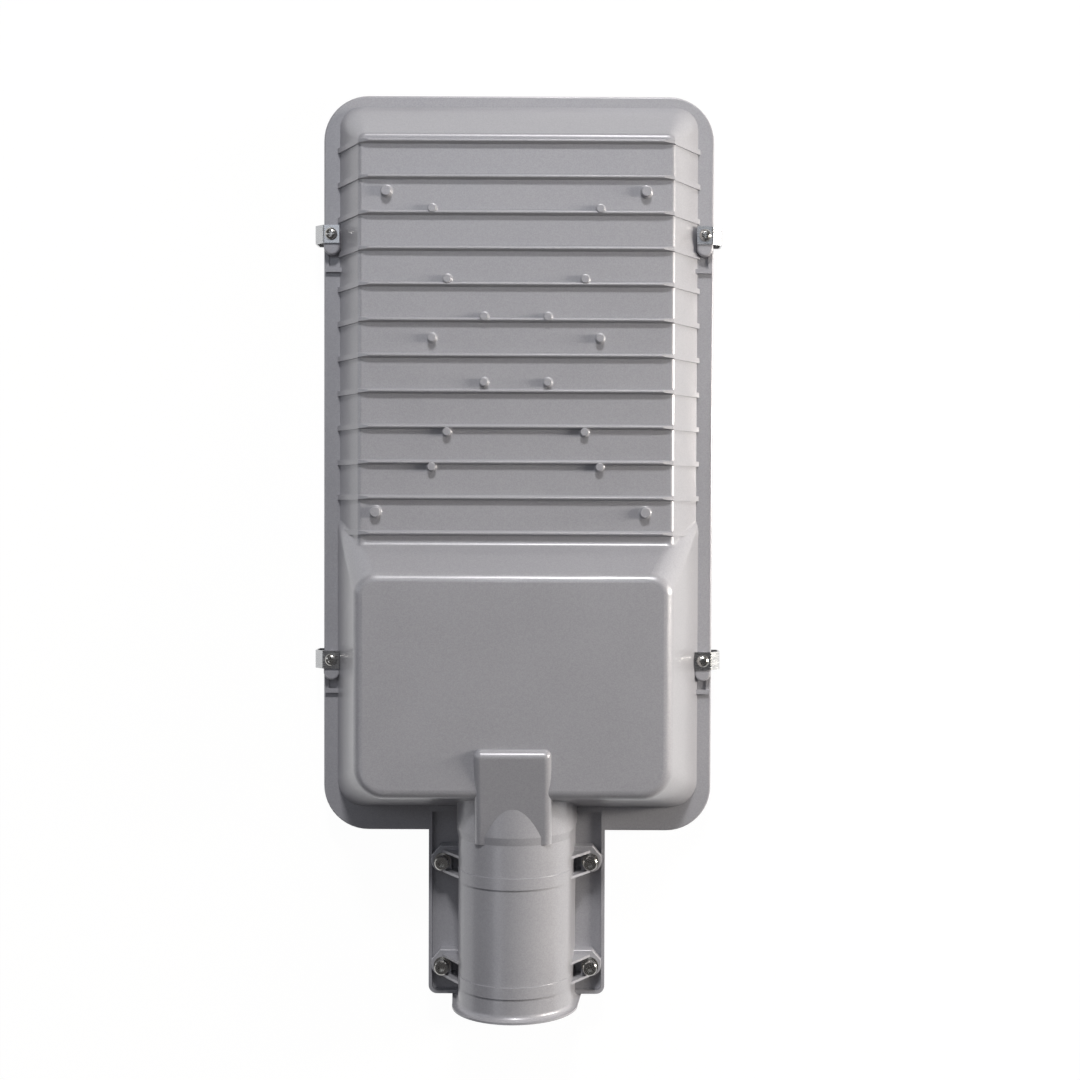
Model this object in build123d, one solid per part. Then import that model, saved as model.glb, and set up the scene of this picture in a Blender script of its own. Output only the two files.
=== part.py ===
from build123d import *
import math
import os

os.makedirs("parts", exist_ok=True)

# LED street light head. All lengths in millimetres.
# The origin is on the axis of the pole socket, at its mouth. +Y runs from the
# mouth to the far tip of the head, +Z is up when the head hangs over a road.

# Glass flange, the thin rim that runs round the whole head
flange_length = 434.2
flange_width = 230.0
flange_corner_radius = 26.5
flange_thickness = 4.0
flange_edge_radius = 1.0
flange_drop = 18.0
neck_reach = 99.3

# Common casting sizes
wall = 3.0

# LED chamber, the finned part of the casting
chamber_height = 28.0
chamber_side_inset = 9.5
chamber_tip_inset = 6.5
chamber_side_run = 15.0
chamber_tip_run = 22.0
chamber_foot_radius = 13.0
chamber_top_radius = 4.0
chamber_edge_radius = 3.0
chamber_inner_radius = 9.0

# Cooling fins across the chamber
fin_count = 12
fin_pitch = 20.39
first_fin_from_tip = 32.6
fin_height = 3.5
fin_crest_thickness = 1.1
fin_root_thickness = 3.0
fin_crest_radius = 0.4
fin_ramp_length = 6.0
ridge_height = 1.3

# Cast posts over the blind screw holes
post_height = 4.2
small_post_diameter = 4.8
large_post_diameter = 6.0
post_foot_radius = 1.1
post_crown_radius = 0.5

# Screw holes of the LED board and of the two other boards that the casting takes
board_centre_from_tip = 145.0
board_hole_spacing = 96.4
board_hole_pitch = 73.7
second_pattern_width = 79.0
second_pattern_length = 87.3
second_pattern_shift = -10.0
third_pattern_width = 36.6
third_pattern_length = 37.4
third_pattern_shift = -6.6

# Screw holes of the reflector liner, from the centre line and from the tip
liner_front_hole_x = 74.4
liner_front_hole_from_tip = 61.3
liner_back_hole_from_tip = 244.8
liner_back_right_hole_x = 74.5
liner_back_left_hole_x = -80.5

# Driver box
box_height = 54.0
box_top_width = 177.6
box_top_length = 125.0
box_side_run = 18.0
box_rear_run = 14.5
box_front_run = 35.5
box_rear_inset = 14.1
box_rear_foot_corner = 16.0
box_front_foot_corner = 10.0
box_rear_top_corner = 18.0
box_front_top_corner = 12.5
box_inner_foot_corner = 13.0
box_inner_top_corner = 14.0
box_edge_radius = 6.2
box_front_foot_radius = 3.0

# Sloping boss where the neck runs up onto the driver box
boss_rise = 5.5
boss_width = 43.6
boss_foot_drop = 20.0
boss_front_overlap = 28.0
boss_rear_overlap = 4.6
boss_slope_deg = 13.5
boss_edge_radius = 4.0

# Pole socket
pole_diameter = 60.0
pole_clearance = 0.4
neck_wall = 3.0
skirt_depth = 26.0
skirt_flare = 2.2
stop_depth = 96.0
stop_wall = 4.0
stop_recess_depth = 3.0
stop_recess_diameter = 48.0
root_step = 1.0
root_end = 105.0
root_taper = 4.5
lip_height = 3.6
lip_thickness = 1.2
lip_cove_radius = 3.2
band_height = 0.9
band_width = 6.5

# Ears and wings that take the clamp bolts
bolt_spacing_x = 87.4
bolt_spacing_y = 62.0
first_bolt_from_mouth = 20.0
ear_top_drop = 12.0
ear_radius = 6.6
ear_front_reach = 9.2
ear_corner_in = 1.4
ear_edge_radius = 0.7
ear_corner_run = 5.9
ear_pocket_to_head = 1.0
web_thickness = 1.5
web_spacing = 11.6
web_rise = 18.5
ear_pocket_depth = 6.5
wing_width = 104.6
wing_rear = 1.8
wing_corner_radius = 5.0
wing_floor_drop = 20.0
wing_rim_drop = 16.0
wing_rim_width = 2.0
wing_pocket_end = 110.5
wing_front_end = 119.0

# Clamp bolts, M5 socket head
bolt_diameter = 5.0
bolt_hole_clearance = 0.5
bolt_length = 25.0
bolt_head_diameter = 8.5
bolt_head_height = 5.0
bolt_socket_flats = 4.0
bolt_socket_depth = 2.6
bolt_head_chamfer = 0.6
spring_washer_diameter = 9.2
spring_washer_thickness = 1.3
spring_washer_slit = 0.6
spring_washer_slit_deg = 25.0
flat_washer_diameter = 10.0
flat_washer_thickness = 1.0
nut_flats = 8.0
nut_height = 4.0

# Lower half of the pole clamp
clamp_gap = 1.5
clamp_plate_thickness = 5.0
clamp_plate_width = 102.0
clamp_back = 4.0
clamp_front = 94.0
clamp_corner_radius = 6.0
saddle_width = 48.0
saddle_thickness = 5.0
saddle_land = 1.0
clamp_boss_diameter = 14.0
clamp_boss_height = 3.2
nut_pocket_clearance = 0.2

# Glass, gasket and clips
gasket_thickness = 2.0
gasket_width = 7.0
gasket_edge_in = 3.0
glass_thickness = 4.0
glass_edge_in = 2.5
glass_edge_chamfer = 0.5
clip_width = 10.5
clip_shoulder = 5.4
clip_sheet = 1.0
clip_reach_out = 4.8
clip_hook_length = 11.0
clip_bend_radius = 1.6
front_clip_from_tip = 82.2
rear_clip_from_tip = 332.3
clip_boss_length = 17.4
clip_boss_shift = 3.4
clip_boss_width = 9.4
clip_boss_height = 6.0
clip_boss_in = 5.4
clip_boss_edge_radius = 1.2
clip_screw_diameter = 3.5
clip_screw_length = 8.0
ledge_below_front_clip = 20.3
ledge_below_rear_clip = 18.8
ledge_thickness = 2.6
ledge_height = 2.4
ledge_edge_in = 1.2
rail_thickness = 0.9
rail_height = 0.9
rail_edge_in = 2.2

# Screws inside the head
small_screw_diameter = 3.0
medium_screw_diameter = 4.0
screw_thread_gap = 0.1
screw_hole_clearance = 0.4
pan_head_ratio = 2.0
pan_head_height_ratio = 0.62
pan_edge_ratio = 0.45
pan_crown_out_ratio = 0.72
pan_crown_up_ratio = 0.87
cross_length_ratio = 1.15
cross_width_ratio = 0.24
post_hole_depth = 5.5
boss_hole_depth = 6.0
cover_hole_depth = 9.0
board_screw_length = 9.0
liner_screw_length = 5.5
box_screw_length = 7.0
cover_screw_length = 9.0

# LED board, LEDs and lens plate
board_width = 110.0
board_length = 165.0
board_thickness = 1.6
led_columns = 6
led_rows = 8
led_pitch_x = 15.0
led_pitch_y = 18.6
led_size = 5.0
led_height = 0.7
lens_plate_thickness = 2.6
lens_pocket_clearance = 0.6
lens_radius = 6.0
lens_height = 4.4
connector_length = 8.0
connector_width = 12.0
connector_height = 4.5
connector_edge_in = 1.0
connector_clearance = 0.6
connector_chamfer = 0.6
lens_plate_edge_in = 1.0

# Reflector liner
liner_sheet = 0.8
liner_window_margin = 2.5
liner_side_gap = 1.2
liner_rim_above_flange = 2.5
liner_notch_diameter = 19.0
liner_notch_depth = 6.0

# Driver compartment
partition_thickness = 3.0
partition_from_box_front = 3.4
driver_length = 136.0
driver_width = 66.0
driver_height = 34.0
driver_edge_radius = 3.0
driver_tab_length = 10.0
driver_tab_width = 40.0
driver_tab_thickness = 2.0
driver_centre_from_stop = 112.0
driver_pad_height = 4.0
driver_pad_in_x = 6.0
driver_pad_in_y = 8.0
driver_boss_diameter = 9.0
driver_hole_spacing = 24.0
driver_gland_diameter = 9.0
driver_gland_length = 7.0
terminal_length = 36.0
terminal_width = 18.0
terminal_height = 17.0
terminal_foot = 7.0
terminal_foot_height = 4.0
terminal_pitch = 7.0
terminal_slot_depth = 9.0
terminal_x = 44.0
terminal_gap_to_driver = 22.0
terminal_poles = 3
terminal_screw_diameter = 3.5
terminal_screw_in = 1.0
terminal_screw_slot_width = 0.8
terminal_screw_slot_depth = 1.2
earth_x = -30.0
earth_boss_diameter = 10.0
earth_washer_diameter = 9.0
earth_washer_thickness = 0.8
cover_sheet = 1.2
cover_above_flange = 1.0
cover_side_gap = 1.2
cover_post_diameter = 9.0
cover_post_inset = 9.0

# Leads and grommets
lead_diameter = 2.0
lead_hole_clearance = 0.2
lead_spacing = 3.2
input_lane_from_driver = 11.0
lead_side_room = 13.0
lead_straight_end = 7.0
lead_bend_share = 0.45
output_lead_bends = ((-13.0, 9.0, -2.0), (-11.0, 25.0, -8.0))
output_lead_turn = (13.0, 45.0, 2.0)
output_lead_pass = (50.0, 15.0, -10.0)
input_lead_bends = (-9.0, -38.0)
lead_pass_x = -30.0
lead_pass_drop = 11.0
inlet_hole_diameter = 16.0
pass_hole_diameter = 12.0
grommet_lip = 2.5
grommet_lip_thickness = 2.0
grommet_membrane = 1.5
grommet_edge = 1.0

# Heights and places that follow from the sizes above
flange_top = -flange_drop
flange_bottom = flange_top - flange_thickness
flange_back = neck_reach
tip = neck_reach + flange_length
flange_half = flange_width / 2
roof = flange_top + chamber_height
ceiling = roof - wall
box_roof = flange_top + box_height
box_ceiling = box_roof - wall
chamber_foot_half = flange_half - chamber_side_inset
chamber_roof_half = chamber_foot_half - chamber_side_run
chamber_foot_tip = tip - chamber_tip_inset
chamber_roof_tip = chamber_foot_tip - chamber_tip_run
box_foot_back = flange_back + box_rear_inset
box_roof_back = box_foot_back + box_rear_run
box_roof_front = box_roof_back + box_top_length
box_foot_front = box_roof_front + box_front_run
box_foot_width = box_top_width + 2 * box_side_run
bore_radius = (pole_diameter + pole_clearance) / 2
neck_radius = bore_radius + neck_wall
skirt_bottom = -skirt_depth
stop_face = stop_depth + stop_recess_depth
bolt_x = bolt_spacing_x / 2
bolt_rows = (first_bolt_from_mouth, first_bolt_from_mouth + bolt_spacing_y)
ear_top = -ear_top_drop
wing_half = wing_width / 2
wing_floor = -wing_floor_drop
wing_rim = -wing_rim_drop
gasket_bottom = flange_bottom - gasket_thickness
glass_bottom = gasket_bottom - glass_thickness
clip_x = flange_half - clip_boss_in
clip_ys = (tip - rear_clip_from_tip, tip - front_clip_from_tip)
ledge_drops = (ledge_below_rear_clip, ledge_below_front_clip)
board_centre = tip - board_centre_from_tip
board_bottom = ceiling - board_thickness
lens_bottom = board_bottom - lens_plate_thickness
connector_back = board_centre - board_length / 2 + connector_edge_in
small_clear_hole = small_screw_diameter + screw_hole_clearance
medium_clear_hole = medium_screw_diameter + screw_hole_clearance
bolt_hole = bolt_diameter + bolt_hole_clearance
lead_hole = lead_diameter + lead_hole_clearance


def box_at_level(level):
    """How far up the driver box's walls a height lies, 0 at the flange and 1 at the roof."""
    return (level - flange_top) / box_height


def box_half_at(level):
    return box_foot_width / 2 - box_side_run * box_at_level(level)


def box_front_at(level):
    return box_foot_front - box_front_run * box_at_level(level)


def box_back_at(level):
    return box_foot_back + box_rear_run * box_at_level(level)


partition_front = box_front_at(roof) - partition_from_box_front + partition_thickness
partition_back = partition_front - partition_thickness


def slab_outline(half_width, back, front, radius, level):
    """Rounded rectangle seen in plan, centred on X, between two Y values at one height."""
    outline = RectangleRounded(2 * half_width, front - back, radius)
    return Pos(0, (back + front) / 2, level) * outline


def two_corner_outline(half_width, back, front, back_radius, front_radius, level):
    """Rectangle seen in plan with one corner radius at its back and another at its front."""
    outline = Rectangle(2 * half_width, front - back)
    outline = fillet(outline.vertices().group_by(Axis.Y)[0], back_radius)
    outline = fillet(outline.vertices().group_by(Axis.Y)[-1], front_radius)
    return Pos(0, (back + front) / 2, level) * outline


def block(x0, x1, y0, y1, z0, z1):
    """Plain box between two corners."""
    solid = Box(x1 - x0, y1 - y0, z1 - z0)
    return Pos((x0 + x1) / 2, (y0 + y1) / 2, (z0 + z1) / 2) * solid


def rod(x, y, z0, z1, diameter):
    """Upright cylinder between two heights."""
    return Pos(x, y, (z0 + z1) / 2) * Cylinder(diameter / 2, z1 - z0)


def along_y(section, y0, y1):
    """Section drawn in X and Z, carried from y0 to y1."""
    plane = Plane(origin=(0, y1, 0), x_dir=(1, 0, 0), z_dir=(0, -1, 0))
    return extrude(plane * section, y1 - y0)


def section_at(section, y):
    plane = Plane(origin=(0, y, 0), x_dir=(1, 0, 0), z_dir=(0, -1, 0))
    return plane * section


def neck_section(growth):
    """Outer outline of the neck: half round above the axis, flared skirts below it."""
    radius = neck_radius + growth
    foot = radius + skirt_flare
    arc = ThreePointArc((-radius, 0), (0, radius), (radius, 0))
    skirts = Polyline((radius, 0), (foot, skirt_bottom), (-foot, skirt_bottom), (-radius, 0))
    return make_face(arc + skirts)


def bore_section(radius, bottom):
    """Channel that takes the pole: half round above, straight walls down to a level."""
    arc = ThreePointArc((-radius, 0), (0, radius), (radius, 0))
    walls = Polyline((radius, 0), (radius, bottom), (-radius, bottom), (-radius, 0))
    return make_face(arc + walls)


def half_round(radius):
    arc = ThreePointArc((-radius, 0), (0, radius), (radius, 0))
    return make_face(arc + Line((radius, 0), (-radius, 0)))


def board_screw_places():
    places = []
    for side in (-1, 1):
        for step in (-1, 0, 1):
            places.append((side * board_hole_spacing / 2, board_centre + step * board_hole_pitch))
    return places


def small_post_places():
    """Places of the fourteen small posts, over the three screw patterns."""
    places = board_screw_places()
    for side in (-1, 1):
        for end in (-1, 1):
            second_y = board_centre + second_pattern_shift + end * second_pattern_length / 2
            places.append((side * second_pattern_width / 2, second_y))
            third_y = board_centre + third_pattern_shift + end * third_pattern_length / 2
            places.append((side * third_pattern_width / 2, third_y))
    return places


liner_screw_places = (
    (-liner_front_hole_x, tip - liner_front_hole_from_tip),
    (liner_front_hole_x, tip - liner_front_hole_from_tip),
    (liner_back_left_hole_x, tip - liner_back_hole_from_tip),
    (liner_back_right_hole_x, tip - liner_back_hole_from_tip),
)


def post(x, y, diameter):
    """Round cast post with a coved foot and a rounded crown."""
    radius = diameter / 2
    foot = radius + post_foot_radius
    crown = radius - post_crown_radius
    shoulder = post_height - post_crown_radius
    root = -wall / 2
    cove_45 = post_foot_radius * (1 - math.sqrt(0.5))
    crown_45 = post_crown_radius * (1 - math.sqrt(0.5))
    outline = Polyline((foot, 0), (foot, root), (0, root), (0, post_height), (crown, post_height))
    outline += ThreePointArc(
        (crown, post_height), (radius - crown_45, post_height - crown_45), (radius, shoulder))
    outline += Line((radius, shoulder), (radius, post_foot_radius))
    outline += ThreePointArc((radius, post_foot_radius), (radius + cove_45, cove_45), (foot, 0))
    solid = revolve(Plane.XZ * make_face(outline), Axis.Z)
    return Pos(x, y, roof) * solid


def fin(y):
    """One drafted cooling fin. Its ends ramp down to a low ridge that runs down both side walls."""
    full = chamber_roof_half - fin_ramp_length
    crest = roof + fin_height
    slope_angle = math.atan2(chamber_height, chamber_side_run)
    out = ridge_height / math.sin(slope_angle)
    below = roof - wall / 2
    foot = chamber_foot_half + out
    edge = chamber_roof_half
    right = [(full, crest), (edge, roof + ridge_height), (foot, flange_top), (foot - 3 * out, flange_top)]
    right.append((edge - 3 * out, below))
    left = [(-x, z) for x, z in reversed(right)]
    front = along_y(make_face(Polyline(*right, *left, close=True)), y - fin_pitch / 2, y + fin_pitch / 2)
    root_half = fin_root_thickness / 2
    crest_half = fin_crest_thickness / 2
    side = [(y - root_half, flange_top), (y - root_half, roof), (y - crest_half, crest)]
    side += [(y + crest_half, crest), (y + root_half, roof), (y + root_half, flange_top)]
    profile = make_face(Plane.YZ * Polyline(*side, close=True))
    solid = front & extrude(profile, flange_half, both=True)
    crest_edges = solid.edges().filter_by(Axis.X).filter_by_position(Axis.Z, crest - 0.01, crest + 0.01)
    return fillet(crest_edges, fin_crest_radius)


def chamber_body():
    """Outside of the LED chamber: a low pan with sloping walls."""
    foot = slab_outline(
        chamber_foot_half, box_foot_back + box_rear_foot_corner, chamber_foot_tip, chamber_foot_radius,
        flange_top)
    top = slab_outline(
        chamber_roof_half, box_foot_back + box_rear_foot_corner, chamber_roof_tip, chamber_top_radius, roof)
    solid = loft([foot, top], ruled=True)
    rim = solid.faces().sort_by(Axis.Z)[-1].edges()
    return fillet(rim, chamber_edge_radius)


def box_body():
    """Outside of the driver box, higher than the LED chamber, with soft top edges."""
    foot = two_corner_outline(
        box_foot_width / 2, box_foot_back, box_foot_front, box_rear_foot_corner, box_front_foot_corner,
        flange_top)
    top = two_corner_outline(
        box_top_width / 2, box_roof_back, box_roof_front, box_rear_top_corner, box_front_top_corner,
        box_roof)
    solid = loft([foot, top], ruled=True)
    rim = solid.faces().sort_by(Axis.Z)[-1].edges()
    return fillet(rim, box_edge_radius)


def flange_body():
    outline = slab_outline(flange_half, flange_back, tip, flange_corner_radius, flange_bottom)
    solid = extrude(outline, flange_thickness)
    rim = solid.faces().sort_by(Axis.Z)[-1].edges()
    return fillet(rim, flange_edge_radius)


def boss_body():
    """Raised block with soft edges that runs from the roof of the driver box down onto the neck."""
    top = box_roof + boss_rise
    front = box_roof_back + boss_front_overlap
    rear = root_end - boss_rear_overlap
    half = boss_width / 2
    solid = block(-half, half, rear, front, box_roof - boss_foot_drop, top + boss_edge_radius)
    cutter = Pos(0, -flange_length / 2, boss_width / 2) * Box(2 * boss_width, 2 * flange_length, boss_width)
    solid -= Pos(0, front - boss_edge_radius, top) * Rot(X=boss_slope_deg) * cutter
    slope = solid.faces().sort_by(Axis.Z)[-1]
    rounded = slope.edges().sort_by(Axis.Y)[1:]
    rounded += solid.edges().filter_by(Axis.Z).group_by(Axis.Y)[-1]
    return fillet(rounded, boss_edge_radius)


def neck_body():
    solid = along_y(neck_section(0), 0, root_end)
    solid += along_y(neck_section(lip_height), 0, lip_thickness)
    cove = [
        edge for edge in solid.edges().filter_by_position(Axis.Y, lip_thickness - 0.01, lip_thickness + 0.01)
        if abs(edge.center().X) < neck_radius + skirt_flare and edge.bounding_box().max.Z < neck_radius + 0.1
        and edge.bounding_box().min.Z < 1]
    solid = fillet(cove, lip_cove_radius)
    solid += along_y(neck_section(root_step), root_end, box_roof_back)
    taper = loft(
        [section_at(neck_section(0), root_end - root_taper), section_at(neck_section(root_step), root_end)],
        ruled=True)
    solid += taper
    band = Pos(0, band_height) * half_round(neck_radius)
    for row in bolt_rows:
        solid += along_y(band, row - band_width, row)
    return solid


def wings_body():
    """Low tray on both sides of the neck, with a raised rim."""
    under_flange = block(-wing_half, wing_half, wing_rear, flange_back + 1, skirt_bottom, wing_rim)
    rear_corners = under_flange.edges().filter_by(Axis.Z).group_by(Axis.Y)[0]
    solid = fillet(rear_corners, wing_corner_radius)
    solid += block(-wing_half, wing_half, flange_back, wing_front_end, flange_bottom, wing_rim)
    return solid


def wing_pocket():
    """Hollow of the tray between its rim and the neck, to be cut out."""
    half = wing_half - wing_rim_width
    solid = block(-half, half, wing_rear + wing_rim_width, wing_pocket_end, wing_floor, wing_rim + 10)
    corners = solid.edges().filter_by(Axis.Z).group_by(Axis.Y)[0]
    return fillet(corners, wing_corner_radius - wing_rim_width)


def ear(side, row):
    """Bolt ear: a flat-topped block with a round end, two webs and a pocket between them."""
    inner = neck_radius - neck_wall / 2
    x1 = bolt_x + ear_corner_in
    x2 = bolt_x + ear_radius
    outline = Polyline(
        (inner, row - ear_radius), (inner, row + ear_front_reach), (x1, row + ear_front_reach),
        (x2, row + ear_front_reach - ear_corner_run), (x2, row))
    outline += ThreePointArc(
        (x2, row),
        (bolt_x + ear_radius * math.sqrt(0.5), row - ear_radius * math.sqrt(0.5)),
        (bolt_x, row - ear_radius))
    outline += Line((bolt_x, row - ear_radius), (inner, row - ear_radius))
    solid = extrude(Pos(0, 0, wing_floor - 1) * make_face(outline), ear_top - wing_floor + 1)
    top_edges = solid.faces().sort_by(Axis.Z)[-1].edges()
    solid = fillet(top_edges, ear_edge_radius)
    pocket_half = (web_spacing - web_thickness) / 2
    pocket_end = bolt_x - bolt_head_diameter / 2 - ear_pocket_to_head
    pocket = block(
        neck_radius, pocket_end, row - pocket_half, row + pocket_half,
        ear_top - ear_pocket_depth, ear_top + 1)
    solid -= pocket
    web_points = [(inner, ear_top - 1), (bolt_x, ear_top - 1), (bolt_x, ear_top), (inner, ear_top + web_rise)]
    web = make_face(Polyline(*web_points, close=True))
    for end in (-1, 1):
        middle = row + end * web_spacing / 2
        solid += along_y(web, middle - web_thickness / 2, middle + web_thickness / 2)
    if side < 0:
        solid = mirror(solid, Plane.YZ)
    return solid


def clip_boss(side, y):
    """Long round-ended pad on the flange, under one glass clip."""
    outline = Rot(Z=90) * SlotOverall(clip_boss_length, clip_boss_width)
    middle = y - clip_boss_shift
    solid = extrude(Pos(side * clip_x, middle, flange_top - 1) * outline, clip_boss_height + 1)
    return fillet(solid.faces().sort_by(Axis.Z)[-1].edges(), clip_boss_edge_radius)


def ledge(side, y, pad_y):
    """Short bar from the chamber wall to the flange's edge, joined to the clip's pad by a thin rail."""
    def bar(inner, outer, y0, y1, height):
        low = min(side * inner, side * outer)
        high = max(side * inner, side * outer)
        return block(low, high, y0, y1, flange_top - 1, flange_top + height)

    half = ledge_thickness / 2
    rail = flange_half - rail_edge_in
    solid = bar(chamber_foot_half - wall / 2, flange_half - ledge_edge_in, y - half, y + half, ledge_height)
    return solid + bar(rail - rail_thickness, rail, y, pad_y, rail_height)


def chamber_slab(level, inset):
    """Plan outline of the hollow LED chamber at a height, drawn in by an inset."""
    share = (level - flange_top) / (ceiling - flange_top)
    half = chamber_foot_half - wall - chamber_side_run * share
    front = chamber_foot_tip - wall - chamber_tip_run * share
    return slab_outline(
        half - inset, partition_front + inset, front - inset, chamber_inner_radius - inset, level)


def chamber_cavity():
    solid = loft([chamber_slab(flange_top, 0), chamber_slab(ceiling, 0)], ruled=True)
    mouth = Pos(0, 0, -flange_thickness) * chamber_slab(flange_top, 0)
    return solid + extrude(mouth, flange_thickness)


def driver_slab(level, front, radius):
    """Plan outline of the hollow driver box at a height, inside its walls."""
    return slab_outline(box_half_at(level) - wall, box_back_at(level) + wall, front, radius, level)


driver_centre = stop_depth + driver_centre_from_stop
driver_seat = box_ceiling - driver_pad_height
driver_bottom = driver_seat - driver_height
driver_middle = driver_seat - driver_height / 2
driver_tab_x = (driver_length + driver_tab_length) / 2
small_row = driver_centre - driver_width / 2 - terminal_gap_to_driver - terminal_width / 2
cover_bottom = flange_top + cover_above_flange
cover_top = cover_bottom + cover_sheet
cover_half = box_half_at(cover_top) - wall - cover_side_gap
cover_back = box_back_at(cover_top) + wall + cover_side_gap
cover_front = partition_back - cover_side_gap
terminal_bottom = driver_seat - terminal_height
lead_pass_level = ceiling - lead_pass_drop


def corner_places(half_x, y0, y1):
    """Four places, mirrored about the middle plane."""
    return [(side * half_x, y) for side in (-1, 1) for y in (y0, y1)]


driver_screw_places = corner_places(
    driver_tab_x, driver_centre - driver_hole_spacing / 2, driver_centre + driver_hole_spacing / 2)
cover_screw_places = corner_places(
    cover_half - cover_post_inset, cover_back + cover_post_inset, cover_front - cover_post_inset)
terminal_screw_places = [
    (terminal_x - terminal_length / 2 + terminal_foot / 2, small_row),
    (terminal_x + terminal_length / 2 - terminal_foot / 2, small_row),
]


def driver_cavity():
    """Inside of the driver box, less the pads and posts that are cast in it."""
    front_roof = box_front_at(box_ceiling) - wall
    foot = driver_slab(flange_top, partition_back, box_inner_foot_corner)
    waist = driver_slab(roof, partition_back, box_inner_foot_corner)
    top = driver_slab(box_ceiling, front_roof, box_inner_top_corner)
    solid = loft([foot, waist], ruled=True) + loft([waist, top], ruled=True)
    solid += extrude(Pos(0, 0, -flange_thickness) * foot, flange_thickness)
    solid += along_y(
        bore_section(bore_radius, flange_top + wall), stop_face + stop_wall, box_roof_back + wall)
    pad_x = driver_length / 2 - driver_pad_in_x
    pad_y = driver_width / 2 - driver_pad_in_y
    solid -= block(-pad_x, pad_x, driver_centre - pad_y, driver_centre + pad_y, driver_seat, box_ceiling)
    solid -= block(
        terminal_x - terminal_length / 2, terminal_x + terminal_length / 2,
        small_row - terminal_width / 2, small_row + terminal_width / 2, driver_seat, box_ceiling)
    solid -= rod(earth_x, small_row, driver_seat, box_ceiling, earth_boss_diameter)
    for x, y in driver_screw_places:
        solid -= rod(x, y, driver_seat, box_ceiling, driver_boss_diameter)
    for x, y in cover_screw_places:
        solid -= rod(x, y, cover_top, box_ceiling, cover_post_diameter)
    return solid


def tapped_hole(x, y, mouth, depth, screw_diameter):
    """Blind hole that opens downwards and takes a screw's thread."""
    return rod(x, y, mouth - 1, mouth + depth, screw_diameter + 2 * screw_thread_gap)


def round_hole_y(x, z, y0, y1, diameter):
    hole = Cylinder(diameter / 2, y1 - y0, rotation=(90, 0, 0))
    return Pos(x, (y0 + y1) / 2, z) * hole


def housing():
    """The one casting: flange, LED chamber, driver box, neck, ears and wings."""
    box_and_chamber = box_body() + chamber_body()
    front_foot = [
        edge for edge in box_and_chamber.edges()
        if abs(edge.center().Z - roof) < 0.1 and abs(edge.center().Y - box_front_at(roof)) < 2]
    box_and_chamber = fillet(front_foot, box_front_foot_radius)
    solid = flange_body() + wings_body() - wing_pocket()
    solid += box_and_chamber
    solid += neck_body()
    solid += boss_body()
    for side in (-1, 1):
        for row in bolt_rows:
            solid += ear(side, row)
        for y, drop in zip(clip_ys, ledge_drops):
            solid += clip_boss(side, y)
            solid += ledge(side, y - drop, y)
    for index in range(fin_count):
        solid += fin(tip - first_fin_from_tip - index * fin_pitch)
    for x, y in small_post_places():
        solid += post(x, y, small_post_diameter)
    for x, y in liner_screw_places:
        solid += post(x, y, large_post_diameter)
    solid -= block(-wing_half, wing_half, flange_back + 1, box_roof_front, skirt_bottom - 1, flange_bottom)
    solid -= chamber_cavity()
    solid -= driver_cavity()
    solid -= along_y(bore_section(bore_radius, skirt_bottom - 1), -1, stop_depth)
    solid -= round_hole_y(0, 0, stop_depth - 1, stop_face, stop_recess_diameter)
    solid -= round_hole_y(0, 0, stop_face - 1, stop_face + stop_wall + 1, inlet_hole_diameter)
    solid -= round_hole_y(
        lead_pass_x, lead_pass_level, partition_back - 1, partition_front + 1, pass_hole_diameter)
    for x in (-bolt_x, bolt_x):
        for row in bolt_rows:
            solid -= rod(x, row, skirt_bottom - 1, ear_top + 1, bolt_hole)
    for x in (-clip_x, clip_x):
        for y in clip_ys:
            clip_seat = flange_top + clip_boss_height
            hole_end = clip_seat - clip_screw_length
            solid -= rod(x, y, hole_end, clip_seat + 1, clip_screw_diameter + 2 * screw_thread_gap)
    for x, y in small_post_places():
        solid -= tapped_hole(x, y, ceiling, post_hole_depth, small_screw_diameter)
    for x, y in liner_screw_places:
        solid -= tapped_hole(x, y, ceiling, post_hole_depth, medium_screw_diameter)
    for x, y in driver_screw_places:
        solid -= tapped_hole(x, y, driver_seat, boss_hole_depth, medium_screw_diameter)
    for x, y in terminal_screw_places:
        solid -= tapped_hole(x, y, driver_seat, boss_hole_depth, small_screw_diameter)
    solid -= tapped_hole(earth_x, small_row, driver_seat, boss_hole_depth, medium_screw_diameter)
    for x, y in cover_screw_places:
        solid -= tapped_hole(x, y, cover_top, cover_hole_depth, medium_screw_diameter)
    return solid


def pan_screw(x, y, seat, diameter, length, upward):
    """Pan-head screw with a cross recess. Its head is above its seat when upward is true."""
    head_radius = diameter * pan_head_ratio / 2
    head_height = diameter * pan_head_height_ratio
    edge = head_height * pan_edge_ratio
    crown = (head_radius * pan_crown_out_ratio, head_height * pan_crown_up_ratio)
    outline = Polyline((head_radius, 0), (head_radius, edge)) + ThreePointArc(
        (head_radius, edge), crown, (0, head_height))
    outline += Polyline((0, head_height), (0, -length), (diameter / 2, -length), (diameter / 2, 0))
    outline += Line((diameter / 2, 0), (head_radius, 0))
    solid = revolve(Plane.XZ * make_face(outline), Axis.Z)
    slot_length = head_radius * cross_length_ratio
    slot_width = diameter * cross_width_ratio
    recess = block(-slot_length / 2, slot_length / 2, -slot_width / 2, slot_width / 2,
                   edge, head_height + 1)
    solid -= recess
    solid -= Rot(Z=90) * recess
    if not upward:
        solid = Rot(X=180) * solid
    return Pos(x, y, seat) * solid


def pan_screws(places, seat, diameter, length, upward):
    return [pan_screw(x, y, seat, diameter, length, upward) for x, y in places]


def clamp_places():
    return corner_places(bolt_x, bolt_rows[0], bolt_rows[1])


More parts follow.
